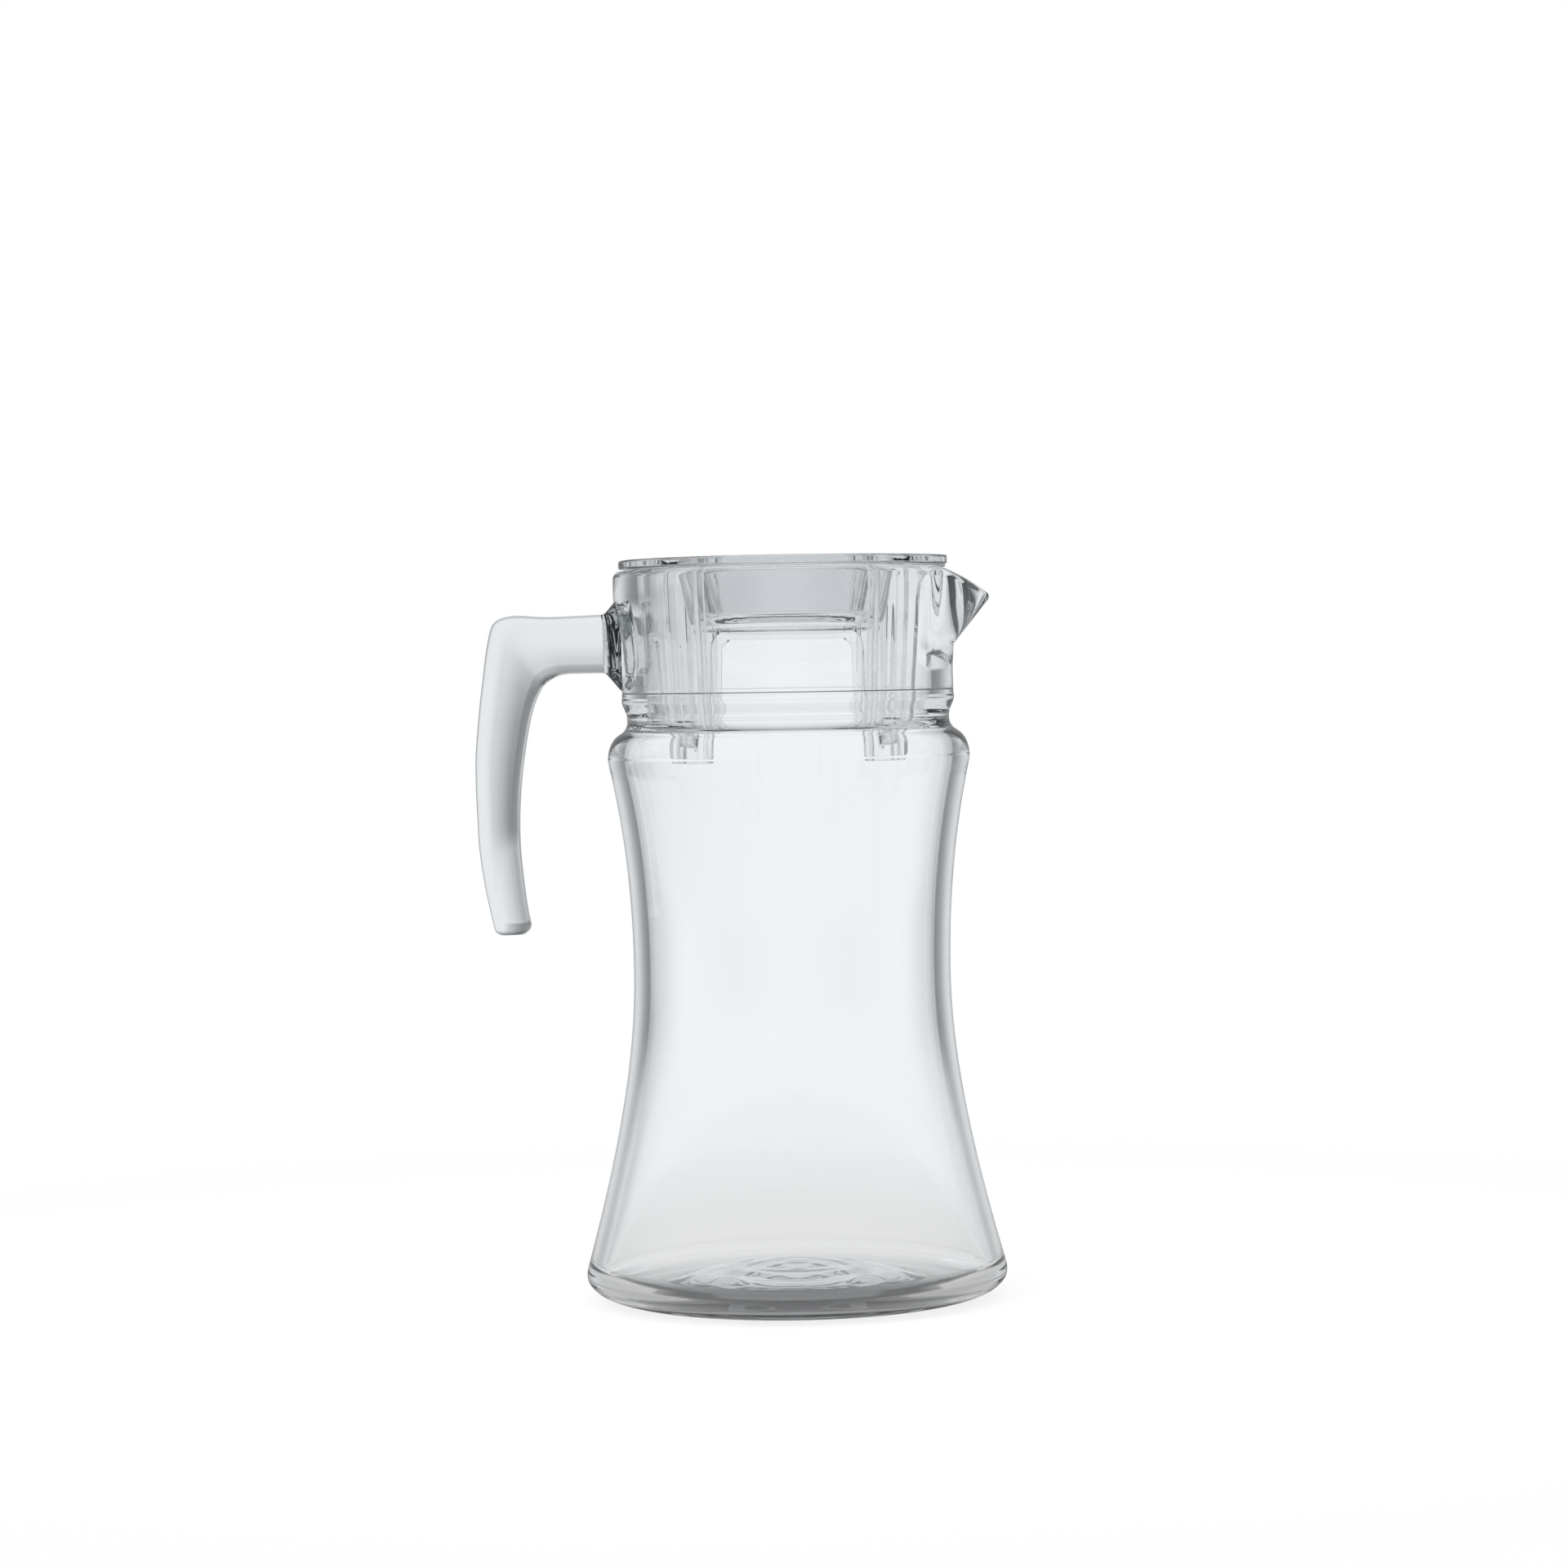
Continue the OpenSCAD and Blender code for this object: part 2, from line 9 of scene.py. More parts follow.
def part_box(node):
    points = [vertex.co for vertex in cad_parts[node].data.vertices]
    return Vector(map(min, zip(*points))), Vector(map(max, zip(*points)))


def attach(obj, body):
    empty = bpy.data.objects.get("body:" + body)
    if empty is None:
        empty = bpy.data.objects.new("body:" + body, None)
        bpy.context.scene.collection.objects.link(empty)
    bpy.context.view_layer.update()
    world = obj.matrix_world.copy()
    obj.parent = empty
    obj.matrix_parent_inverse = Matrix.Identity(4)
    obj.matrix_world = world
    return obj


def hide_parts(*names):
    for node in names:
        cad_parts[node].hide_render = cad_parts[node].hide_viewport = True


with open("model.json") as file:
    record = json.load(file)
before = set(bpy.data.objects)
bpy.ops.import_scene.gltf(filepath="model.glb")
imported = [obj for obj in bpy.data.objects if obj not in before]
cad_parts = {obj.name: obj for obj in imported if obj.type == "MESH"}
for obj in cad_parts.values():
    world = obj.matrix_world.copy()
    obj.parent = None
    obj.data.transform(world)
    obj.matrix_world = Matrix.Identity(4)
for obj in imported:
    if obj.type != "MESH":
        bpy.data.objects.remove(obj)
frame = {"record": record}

# Lengths below are in millimetres and angles in degrees, unless a name says otherwise
MM = 0.001
X, Y, Z = 0, 1, 2
OVERRUN = 1.0
# Turns between faces that stay a sharp edge
GLASS_SHARP_TURN = 50
LID_SHARP_TURN = 35
# Clearing of a moulding before its edges are rounded, and which edges are
MERGE_GAP = 0.12
FLAT_TURN = 0.8
EDGE_TURN = 40
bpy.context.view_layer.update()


def low(node, axis):
    """Lowest place of a CAD node along an axis."""
    return round(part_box(node)[0][axis] / MM, 2)


def high(node, axis):
    """Highest place of a CAD node along an axis."""
    return round(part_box(node)[1][axis] / MM, 2)


# Heights and radii of the jug
FOOT_Z = low("lower_body", Z)
WAIST_Z = low("upper_body", Z)
EDGE_Z = low("shoulder", Z)
NECK_Z = low("neck_ring", Z)
COLLAR_Z = low("collar", Z)
RIM_Z = high("collar", Z)
FOOT_R = high("base", Y)
SHOULDER_R = high("shoulder", Y)
RIM_R = high("collar", Y)
WAIST_R = 51.5
EDGE_R = SHOULDER_R - 0.45
NECK_R = 52.3
COLLAR_R = 53.7
BORE_R = 47.0
NECK_BORE_R = 46.2
STAND_R = 51.5
PUSH_UP = 4.0
HEEL_H = 8.1
FOOT_EDGE_H = 4.0
FOOT_EDGE_ROUND = 1.4
WAIST_POWER_ABOVE = 2.15
WAIST_POWER_BELOW = 1.85
WAIST_POWER_DROP = 0.26
SHOULDER_ROUND_W = 5.6
SHOULDER_ROUND_H = 8.6
SHOULDER_ROUND_TURN = 68
BEAD_CLEAR = 10.0
# Bead of the collar: how far out from the collar's side and up from its lower edge
BEAD_STEPS = [(-0.4, -0.72), (0.4, 1.31), (0.15, 3.07), (0, 9.64)]

# Inside of the jug
WALL = 5.2
NECK_LEDGE_H = 10.0
NECK_FLARE_W = 1.6
SHOULDER_ROOM_W = 4.5
SHOULDER_ROOM_H = 7.6
FLOOR_T = 5.2
FLOOR_DOME = 6.5
DOME_HALF_W = 42.0
DOME_RING_W = 10.5
DOME_RING_H = 0.2
CORNER_W = 4.4
CORNER_Z = 11.0
RIM_ROUND = 2.4
BORE_TOP_R = 48.6
BORE_ROUND = 1.6

# Pouring lip, seen from the side
TIP_X = high("pouring_lip", X)
TIP_Z = 226.2
LIP_ROOT_Z = 211.8
LIP_HALF_TURN = 27.0
LIP_WALL = 3.4
LIP_POWER = 1.4
LIP_TIP_TURN = 2.5

# Handle, seen from the side
ARM_X = 59.4
ARM_TOP_Z = high("handle_arm", Z)
ARM_LOW_Z = low("handle_arm", Z)
GRIP_X = -low("handle_grip", X)
GRIP_T = 13.7
GRIP_END_Z = low("handle_grip", Z)
GRIP_HALF_W = high("handle_arm", Y)
ROOT_X = 49.5
ROOT_FLARE = 5.9
SEAM_X = ARM_X + 0.2

# Lid
PLATE_Z = low("lid_plate", Z)
LID_TOP_Z = high("lid_plate", Z)
PLATE_R = high("lid_plate", Y)
PLATE_FLAT_X = high("lid_plate", X)
PLATE_LOW_ROUND = 0.5
PLATE_TOP_ROUND = 0.8
EDGE_SOFTNESS = 0.25
SEAT_Z = low("seat_ring", Z)
SEAT_R = high("seat_ring", Y)
SEAT_W = 2.4
SKIRT_R = high("skirt_band", Y)
LEG_END_Z = low("leg_lip_front", Z)
LEG_END_R = 43.96
WINDOW_Z = low("skirt_band", Z)
POUR_Z = PLATE_Z - 4.4
WINDOW_HALF_W = 22.6
WINDOW_FLARE = 0.8
WINDOW_ROUND = 6.4
LID_WALL = 1.8
RIB_DEPTH = 5.0
RIB_T = 1.6
RIB_GAP = 12.0
LEG_HALF_W = 12.75
LEG_FOOT_HALF_W = 11.6
LEG_CORNER = 4.0
LEG_TURNS = (45, 135, 225, 315)
POCKET_R = 35.6
POCKET_DRAFT = 4.4
POCKET_CORNER = 7.0
POCKET_EDGE = 1.6
POCKET_FLOOR_Z = LID_TOP_Z - 18.0
BAR_HALF_W = 6.0
CATCH_Z = 183.4
CATCH_R = 44.3
CATCH_PROUD = 1.6
CATCH_HALF_W = 4.0
CATCH_HALF_H = 5.5


def spline(points, steps):
    """Smooth curve through the points, with a number of steps between each two."""
    ends = [points[0]] + list(points) + [points[-1]]
    curve = []
    for four in zip(ends, ends[1:], ends[2:], ends[3:]):
        for i in range(steps):
            t = i / steps
            curve.append(tuple(
                0.5 * (2 * q + (r - p) * t + (2 * p - 5 * q + 4 * r - s) * t * t
                       + (3 * q - p - 3 * r + s) * t ** 3)
                for p, q, r, s in zip(*four)))
    return curve + [tuple(points[-1])]


def rounded(points, reach, steps=6):
    """Outline with a rounded corner at each of its inner points."""
    out = [tuple(points[0])]
    for before, corner, after in zip(points, points[1:], points[2:]):
        a, b, c = Vector(before), Vector(corner), Vector(after)
        cut = min(reach, (a - b).length * 0.48, (c - b).length * 0.48)
        start, end = b + (a - b).normalized() * cut, b + (c - b).normalized() * cut
        for i in range(steps + 1):
            t = i / steps
            out.append(tuple(start * (1 - t) ** 2 + b * 2 * t * (1 - t) + end * t * t))
    return out + [tuple(points[-1])]


def arc(x, z, a, b, start, end, steps):
    """Points on an ellipse between two angles."""
    turns = [math.radians(start + (end - start) * i / steps) for i in range(steps + 1)]
    return [(x + a * math.cos(t), z + b * math.sin(t)) for t in turns]


def line(a, b, steps):
    """Points on a straight line."""
    return [tuple(p + (q - p) * i / steps for p, q in zip(a, b)) for i in range(steps + 1)]


def piece(name, points, faces):
    """Mesh object from points in millimetres."""
    mesh = bpy.data.meshes.new(name)
    mesh.from_pydata([Vector(p) * MM for p in points], [], faces)
    mesh.validate()
    tidy = bmesh.new()
    tidy.from_mesh(mesh)
    bmesh.ops.remove_doubles(tidy, verts=tidy.verts, dist=1e-7)
    bmesh.ops.recalc_face_normals(tidy, faces=tidy.faces)
    tidy.to_mesh(mesh)
    tidy.free()
    obj = bpy.data.objects.new(name, mesh)
    bpy.context.scene.collection.objects.link(obj)
    return obj


def combine(obj, others, operation):
    """Unites an object with others, or cuts them from it, and removes them."""
    for other in others:
        change = obj.modifiers.new("combine", "BOOLEAN")
        change.operation = operation
        change.solver = "MANIFOLD"
        change.object = other
        apply_modifiers(obj)
        bpy.data.objects.remove(other)
    return obj


def apply_modifiers(obj):
    """Turns what the modifiers make into the object's own mesh."""
    graph = bpy.context.evaluated_depsgraph_get()
    made = bpy.data.meshes.new_from_object(obj.evaluated_get(graph))
    obj.modifiers.clear()
    old = obj.data
    obj.data = made
    bpy.data.meshes.remove(old)


def smooth(obj, sharp_turn):
    """Smooth shading led by the large faces, with edges that turn more than an angle left sharp."""
    for face in obj.data.polygons:
        face.use_smooth = True
    obj.data.set_sharp_from_angle(angle=math.radians(sharp_turn))
    even = obj.modifiers.new("even", "WEIGHTED_NORMAL")
    even.keep_sharp = True
    apply_modifiers(obj)


def soften(obj, width):
    """Rounds the edges of a moulding a little, after its slivers and seams are cleared."""
    clean = bmesh.new()
    clean.from_mesh(obj.data)
    bmesh.ops.remove_doubles(clean, verts=clean.verts, dist=MERGE_GAP * MM)
    bmesh.ops.dissolve_limit(clean, angle_limit=math.radians(FLAT_TURN), verts=clean.verts,
                             edges=clean.edges)
    bmesh.ops.triangulate(clean, faces=[face for face in clean.faces if len(face.verts) > 4])
    clean.to_mesh(obj.data)
    clean.free()
    bevel = obj.modifiers.new("soften", "BEVEL")
    bevel.width = width * MM
    bevel.segments = 2
    bevel.limit_method = "ANGLE"
    bevel.angle_limit = math.radians(EDGE_TURN)
    bevel.use_clamp_overlap = False
    apply_modifiers(obj)


def closed_lathe(name, outline, turns):
    """Solid of revolution from a closed outline clear of the axis."""
    count = len(outline)
    points = [(r * math.cos(t), r * math.sin(t), z) for t in turns for r, z in outline]
    faces = []
    for k in range(len(turns)):
        after = (k + 1) % len(turns)
        for i in range(count):
            j = (i + 1) % count
            faces.append((k * count + i, after * count + i, after * count + j, k * count + j))
    return piece(name, points, faces)


def even_turns(count):
    """Angles all round, in radians."""
    return [2 * math.pi * i / count for i in range(count)]


def loft(name, rings):
    """Closed skin over a row of rings with equal numbers of points."""
    count = len(rings[0])
    points = [p for ring in rings for p in ring]
    faces = [tuple(range(count))]
    for k in range(len(rings) - 1):
        for i in range(count):
            j = (i + 1) % count
            faces.append((k * count + i, (k + 1) * count + i, (k + 1) * count + j, k * count + j))
    start = (len(rings) - 1) * count
    faces.append(tuple(start + i for i in reversed(range(count))))
    return piece(name, points, faces)


def prism(name, outline, low_x, high_x, turn):
    """Outline across Y and Z stretched along X between two places, then turned about Z."""
    spin = Matrix.Rotation(math.radians(turn), 4, "Z")
    rings = [[spin @ Vector((x, y, z)) for y, z in outline] for x in (low_x, high_x)]
    return loft(name, rings)


# The glass of the jug

def body_r(z):
    """Radius of the waisted body at a height."""
    if z < WAIST_Z:
        down = (WAIST_Z - z) / (WAIST_Z - FOOT_Z)
        power = WAIST_POWER_BELOW - WAIST_POWER_DROP * down
        return WAIST_R + (FOOT_R - WAIST_R) * down ** power
    up = (z - WAIST_Z) / (EDGE_Z - WAIST_Z)
    return WAIST_R + (EDGE_R - WAIST_R) * up ** WAIST_POWER_ABOVE


def body_line(z0, z1, wall):
    """Smooth line of the body between two heights, inset by the wall."""
    stations = max(2, round(abs(z1 - z0) / 7))
    heights = [z0 + (z1 - z0) * i / stations for i in range(stations + 1)]
    return spline([(body_r(z) - wall, z) for z in heights], 4)


def foot_line():
    """Outline from the axis under the base out and up to the body."""
    hollow_r = STAND_R - PUSH_UP
    hollow = [(hollow_r * i / 24, PUSH_UP * (1 + math.cos(math.pi * i / 24)) / 2) for i in range(24)]
    heel = arc(STAND_R, HEEL_H, FOOT_R - STAND_R, HEEL_H, -90, 0, 30)
    start_z = FOOT_Z + FOOT_EDGE_H
    edge = rounded([heel[-1], (FOOT_R, FOOT_Z), (body_r(start_z), start_z)], FOOT_EDGE_ROUND)
    return hollow + [(hollow_r, 0)] + heel + edge[1:-1]


def shoulder_line():
    """Outline over the shoulder and the groove of the neck up to the bead of the collar."""
    turn = arc(SHOULDER_R - SHOULDER_ROUND_W, EDGE_Z + 2.6, SHOULDER_ROUND_W, SHOULDER_ROUND_H,
               0, SHOULDER_ROUND_TURN, 18)
    slope_z = EDGE_Z + (NECK_Z - EDGE_Z) * 0.86
    neck_mid_z = (NECK_Z + COLLAR_Z) / 2
    bead = [(COLLAR_R + out, COLLAR_Z + up) for out, up in BEAD_STEPS]
    neck = rounded([turn[-1], (NECK_R + 0.9, slope_z), (NECK_R, NECK_Z), (NECK_R, neck_mid_z)]
                   + bead, 1.6)
    return turn + neck[1:]


def collar_places():
    """Places that the outside of the collar passes, from the bead to the rim's round."""
    height = RIM_Z - COLLAR_Z
    flare = RIM_R - COLLAR_R
    shares = [(0.07, 0.06), (0.22, 0), (0.45, 0.24), (0.62, 0.72), (0.8, 1)]
    places = [(COLLAR_R + flare * out, COLLAR_Z + height * up) for up, out in shares]
    return spline(places + [(RIM_R, RIM_Z - RIM_ROUND)], 6)


def collar_r(z):
    """Radius of the collar outside at a height."""
    places = collar_places()
    for (r0, z0), (r1, z1) in zip(places, places[1:]):
        if z0 <= z <= z1:
            return r0 + (r1 - r0) * (z - z0) / (z1 - z0)
    return RIM_R


def plain_rim():
    """Collar from the root of the lip over the rim and down the bore, away from the lip."""
    top = RIM_Z - RIM_ROUND
    outside = [(collar_r(z), z) for _, z in line((0, LIP_ROOT_Z), (0, top), 28)]
    over = arc(RIM_R - RIM_ROUND, top, RIM_ROUND, RIM_ROUND, 0, 90, 10)
    flat = line(over[-1], (BORE_TOP_R + BORE_ROUND, RIM_Z), 4)
    into = arc(BORE_TOP_R + BORE_ROUND, RIM_Z - BORE_ROUND, BORE_ROUND, BORE_ROUND, 90, 180, 10)
    inside = line(into[-1], (BORE_R, LIP_ROOT_Z - LIP_WALL), 28)
    return outside + over[1:] + flat[1:] + into[1:] + inside[1:]


def lip_rim():
    """The same stretch in the middle of the lip: underside, tip and floor of the channel."""
    half = LIP_WALL / 2
    root = Vector((collar_r(LIP_ROOT_Z), LIP_ROOT_Z))
    middle = Vector((TIP_X - half, TIP_Z + 0.6))
    along = (middle - root).normalized()
    turn = math.degrees(math.atan2(along.y, along.x))
    tip = arc(middle.x, middle.y, half, half, turn - 90, turn + 90, 24)
    outside = line(root, tip[0], 28)
    drop = (tip[-1][0] - BORE_R) * along.y / along.x
    inside = line(tip[-1], (BORE_R, tip[-1][1] - drop), 28)
    return outside + tip[1:] + inside[1:]


def dome_z(r):
    """Height of the floor inside, a low dome with faint rings as pressed glass has."""
    cap_r = (DOME_HALF_W ** 2 + FLOOR_DOME ** 2) / (2 * FLOOR_DOME)
    rings = DOME_RING_H * (math.cos(2 * math.pi * r / DOME_RING_W) - 1) / 2
    return FLOOR_T + FLOOR_DOME - cap_r + math.sqrt(cap_r ** 2 - r ** 2) + rings


def cavity_line():
    """Outline from the bore of the collar down to the middle of the floor."""
    ledge_z = NECK_Z + NECK_LEDGE_H
    room_r = SHOULDER_R - WALL
    bore = rounded([
        (BORE_R, LIP_ROOT_Z - LIP_WALL), (BORE_R, ledge_z), (NECK_BORE_R, ledge_z),
        (NECK_BORE_R, NECK_Z + 0.5), (NECK_BORE_R + NECK_FLARE_W, NECK_Z - 1.8),
        (room_r - 2.8, EDGE_Z + 10)], 3.2)
    turn = arc(room_r - SHOULDER_ROOM_W, EDGE_Z + 3, SHOULDER_ROOM_W, SHOULDER_ROOM_H,
               SHOULDER_ROUND_TURN, 0, 16)
    body = body_line(EDGE_Z, CORNER_Z, WALL)
    corner = arc(body[-1][0] - CORNER_W, CORNER_Z, CORNER_W, CORNER_Z - FLOOR_T, 0, -90, 12)[1:]
    cap = [(DOME_HALF_W * i / 50, dome_z(DOME_HALF_W * i / 50)) for i in range(46, -1, -1)]
    edge = rounded([corner[-1], (DOME_HALF_W, FLOOR_T), cap[0]], 5)
    return bore[1:-1] + turn + body[1:] + corner + edge[1:-1] + cap


def lip_share(turn):
    """How far a direction round the jug takes part in the lip, from 0 to 1."""
    eased = math.hypot(turn, LIP_TIP_TURN) - LIP_TIP_TURN
    return max(0, 1 - eased / LIP_HALF_TURN) ** LIP_POWER


def jug_turns():
    """Directions round the jug, closer together within 30 degrees of the lip."""
    fine = [i * 0.6 for i in range(-50, 50)]
    return fine + [30 + i * 2 for i in range(150)]


def glass_body():
    """The glass of the jug without its handle, as one closed skin."""
    before = foot_line() + body_line(FOOT_Z + FOOT_EDGE_H, EDGE_Z, 0) + shoulder_line()
    before += [p for p in collar_places() if COLLAR_Z + BEAD_CLEAR < p[1] < LIP_ROOT_Z - 0.5]
    after = cavity_line()
    plain, lip = plain_rim(), lip_rim()
    count = len(before) + len(plain) + len(after) - 2
    points, faces = [], []
    turns = jug_turns()
    for turn in turns:
        share = lip_share(turn if turn < 180 else turn - 360)
        rim = [(a + (c - a) * share, b + (d - b) * share) for (a, b), (c, d) in zip(plain, lip)]
        t = math.radians(turn)
        for r, z in before[1:] + rim + after[:-1]:
            points.append((r * math.cos(t), r * math.sin(t), z))
    for k in range(len(turns)):
        a, b = k * count, (k + 1) % len(turns) * count
        faces += [(a + i, b + i, b + i + 1, a + i + 1) for i in range(count - 1)]
    bottom, top = len(points), len(points) + 1
    points += [(0, 0, before[0][1]), (0, 0, after[-1][1])]
    for k in range(len(turns)):
        a, b = k * count, (k + 1) % len(turns) * count
        faces += [(bottom, b, a), (top, a + count - 1, b + count - 1)]
    return piece("jug_glass", points, faces)


# The handle

# Pairs of places on the inner and the outer edge: how far out along X, how far down along Z
GRIP_PAIRS = [
    ((0, 0), (0, 0)), ((0.23, 0), (0.2, 0.003)), ((0.42, 0.001), (0.45, 0.005)),
    ((0.55, 0.01), (0.7, 0)), ((0.687, 0.039), (0.84, 0.022)), ((0.757, 0.076), (0.894, 0.089)),
    ((0.817, 0.124), (0.931, 0.19)), ((0.873, 0.196), (0.964, 0.293)),
    ((0.933, 0.31), (0.995, 0.421)), ((0.975, 0.421), (1, 0.523)),
    ((1, 0.547), (0.993, 0.626)), ((1, 0.664), (0.983, 0.722)),
    ((0.972, 0.782), (0.955, 0.816)), ((0.93, 0.9), (0.914, 0.908)),
    ((0.893, 0.964), (0.88, 0.971))]
# Section from the inner to the outer edge: share of the depth, share of the half width
SECTION = [
    (0, 0), (0, 0.35), (0.01, 0.5), (0.05, 0.6), (0.14, 0.72), (0.2, 0.765), (0.3, 0.83),
    (0.4, 0.885), (0.5, 0.93), (0.6, 0.962), (0.7, 0.985), (0.8, 1), (0.9, 0.985), (0.96, 0.93),
    (0.99, 0.82), (1, 0.65), (1, 0.3), (1, 0)]


def grip_paths():
    """Inner and outer edge of the handle from the side, root first, with equal steps."""
    inner_x = GRIP_X - GRIP_T
    inner = [(ARM_X + (inner_x - ARM_X) * a, ARM_LOW_Z - (ARM_LOW_Z - GRIP_END_Z) * b)
             for (a, b), _ in GRIP_PAIRS]
    outer = [(ARM_X + (GRIP_X - ARM_X) * a, ARM_TOP_Z - (ARM_TOP_Z - GRIP_END_Z) * b)
             for _, (a, b) in GRIP_PAIRS]
    return spline(inner, 8), spline(outer, 8)


def handle_ring(inner, outer, half):
    """Closed section of the handle between an inner and an outer place."""
    side = spline(SECTION, 4)
    across = [(inner[0] + (outer[0] - inner[0]) * s, inner[1] + (outer[1] - inner[1]) * s, w * half)
              for s, w in side]
    right = [(-x, y, z) for x, z, y in across]
    left = [(-x, -y, z) for x, z, y in reversed(across[1:-1])]
    return right + left


def root_rings():
    """Sections of the flared root, from inside the collar's wall out to the arm."""
    rings = []
    count = 14
    for i in range(count + 1):
        depth = (ARM_X - ROOT_X) * (1 - i / count)
        grow = min(ROOT_FLARE, 1.25 * depth * depth / (depth + 0.8))
        x = ARM_X - depth
        rings.append(handle_ring((x, ARM_LOW_Z - grow), (x, ARM_TOP_Z + grow),
                                 GRIP_HALF_W + grow * 0.7))
    return rings


def end_rings(inner, outer):
    """Sections that round off the end of the grip."""
    rings = []
    a, b = Vector(inner), Vector(outer)
    middle = (a + b) / 2
    reach = middle.y - GRIP_END_Z
    for i in range(1, 9):
        t = math.radians(90 * i / 8)
        gone = reach * (1 - math.cos(t))
        keep = 1 - gone / (b - a).length * 2
        back = middle - Vector((0, reach * math.sin(t)))
        rings.append(handle_ring(back + (a - middle) * keep, back + (b - middle) * keep,
                                 GRIP_HALF_W - gone))
    return rings


def glass_handle():
    """The open hook of the handle, from its root in the collar to its free end."""
    inner, outer = grip_paths()
    rings = root_rings()
    rings += [handle_ring(i, o, GRIP_HALF_W) for i, o in zip(inner[1:], outer[1:])]
    return loft("handle_glass", rings + end_rings(inner[-1], outer[-1]))


def glass_jug():
    """Jug and handle as one closed piece, with a darker copy of the glass past the seam that paints
    in the handle's shade.
    """
    jug = combine(glass_body(), [glass_handle()], "UNION")
    smooth(jug, GLASS_SHARP_TURN)
    jug.data.materials.clear()
    jug.data.materials.append(clear_glass())
    jug.data.materials.append(handle_glass())
    for face in jug.data.polygons:
        if face.center.x < -SEAM_X * MM and face.center.z > (GRIP_END_Z - 1) * MM:
            face.material_index = 1
    return jug


# The lid

def cone_r(z):
    """Radius of the lid's skirt and legs outside at a height."""
    return LEG_END_R + (SKIRT_R - LEG_END_R) * (z - LEG_END_Z) / (PLATE_Z - LEG_END_Z)


def skirt_cone():
    """Tapered wall from the feet of the legs up into the plate."""
    top = PLATE_Z + OVERRUN
    wall = [(cone_r(LEG_END_Z), LEG_END_Z), (cone_r(top), top),
            (cone_r(top) - LID_WALL, top), (cone_r(LEG_END_Z) - LID_WALL, LEG_END_Z)]
    return closed_lathe("skirt", wall, even_turns(240))


def rib(turn, side):
    """One stiffening rib inside a leg, from its foot up into the plate."""
    spin = Matrix.Rotation(math.radians(turn), 4, "Z")
    rings = []
    for z in (LEG_END_Z, PLATE_Z + OVERRUN):
        y0 = side * RIB_GAP / 2 - RIB_T / 2
        near, far = cone_r(z) - RIB_DEPTH, cone_r(z) - 1
        rings.append([spin @ Vector(p) for p in (
            (near, y0, z), (far, y0, z), (far, y0 + RIB_T, z), (near, y0 + RIB_T, z))])
    return loft("rib", rings)


def window_outline(top):
    """Window between two legs: straight top, round corners and sides that widen downwards."""
    w, r = WINDOW_HALF_W, WINDOW_ROUND
    foot = w + WINDOW_FLARE
    low_z = LEG_END_Z - OVERRUN
    return ([(-foot, low_z)] + arc(r - w, top - r, r, r, 180, 90, 8)
            + arc(w - r, top - r, r, r, 90, 0, 8) + [(foot, low_z)])


def leg_outline():
    """What is kept of a leg seen along its own radius, with the round corners of its foot."""
    top_w, w, c = LEG_HALF_W + OVERRUN, LEG_FOOT_HALF_W, LEG_CORNER
    low_z = LEG_END_Z + c * 2
    return ([(top_w, WINDOW_Z), (-top_w, WINDOW_Z)] + arc(c - w, low_z, c, c * 2, 180, 270, 8)
            + arc(w - c, low_z, c, c * 2, 270, 360, 8))


def skirt_and_legs():
    """Skirt with its windows and its four ribbed legs, as one solid."""
    skirt = skirt_cone()
    ribs = [rib(turn, side) for turn in LEG_TURNS for side in (-1, 1)]
    combine(skirt, ribs, "UNION")
    near, far, low_z, top = 20, 70, WINDOW_Z - 0.01, PLATE_Z + 3
    keep = closed_lathe("keep", [(near, low_z), (far, low_z), (far, top), (near, top)],
                        even_turns(32))
    legs = [prism("leg", leg_outline(), 25, 60, turn) for turn in LEG_TURNS]
    combine(keep, legs, "UNION")
    combine(skirt, [keep], "INTERSECT")
    windows = [prism("window", window_outline(WINDOW_Z), 20, 60, turn) for turn in (90, 180, 270)]
    windows.append(prism("window", window_outline(POUR_Z), 20, 60, 0))
    return combine(skirt, windows, "DIFFERENCE")


def plate():
    """Round plate with rounded edges and the flat that clears the lip."""
    r, top = PLATE_R, LID_TOP_Z
    low_round, top_round = PLATE_LOW_ROUND, PLATE_TOP_ROUND
    outline = (arc(r - low_round, PLATE_Z + low_round, low_round, low_round, -90, 0, 4)
               + arc(r - top_round, top - top_round, top_round, top_round, 0, 90, 6)
               + [(1, top), (1, PLATE_Z)])
    disc = closed_lathe("lid_moulding", outline, even_turns(240))
    middle = prism("middle", [(-2, PLATE_Z), (2, PLATE_Z), (2, top), (-2, top)], -2, 2, 0)
    combine(disc, [middle], "UNION")
    under, over = PLATE_Z - OVERRUN, top + OVERRUN
    cut = prism("cut", [(-60, under), (60, under), (60, over), (-60, over)], PLATE_FLAT_X, 70, 0)
    return combine(disc, [cut], "DIFFERENCE")


def pocket_outline(r, flat_y, corner):
    """Round of a finger pocket at one level, with its flat side towards the grip bar."""
    mid_y = flat_y + corner
    mid_x = math.sqrt((r - corner) ** 2 - mid_y ** 2)
    turn = math.degrees(math.atan2(mid_y, mid_x))
    return (arc(mid_x, mid_y, corner, corner, -90, turn, 12)
            + arc(0, 0, r, r, turn, 180 - turn, 60)[1:-1]
            + arc(-mid_x, mid_y, corner, corner, 180 - turn, 270, 12))


